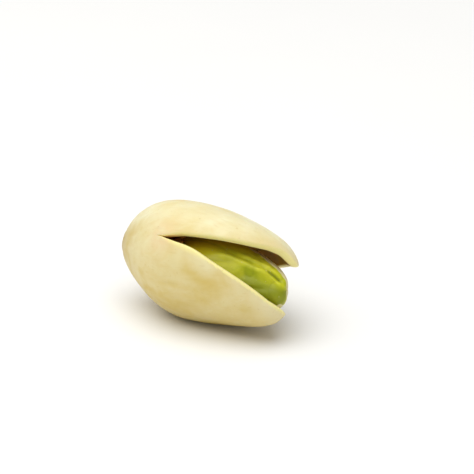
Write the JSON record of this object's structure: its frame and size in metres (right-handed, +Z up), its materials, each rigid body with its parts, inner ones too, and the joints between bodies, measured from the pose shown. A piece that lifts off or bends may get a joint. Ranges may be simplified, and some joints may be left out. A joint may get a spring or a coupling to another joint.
{
  "type": "pistachio in shell",
  "caption": "Roasted pistachio with its hard shell split open at the tip and a loose green kernel inside, lying on one flank.",
  "frame": {"origin": "on the surface the nut rests on, under the middle of its bounding box", "axes": "+X from the stem end to the split tip, +Z up, -Y is the side the split faces"},
  "size_m": [0.0204, 0.012, 0.0117],
  "materials": {
    "shell": "hard pale cream nutshell, matt with a slight polish, faintly mottled, lighter along the split edge",
    "kernel": "yellow-green nut flesh with darker green flanks, finely wrinkled, a little oily",
    "seed_coat": "dry papery red-brown skin"
  },
  "bodies": {
    "root": {"shell": "shell", "kernel": "kernel", "seed_coat": "seed_coat"}
  },
  "joints": []
}
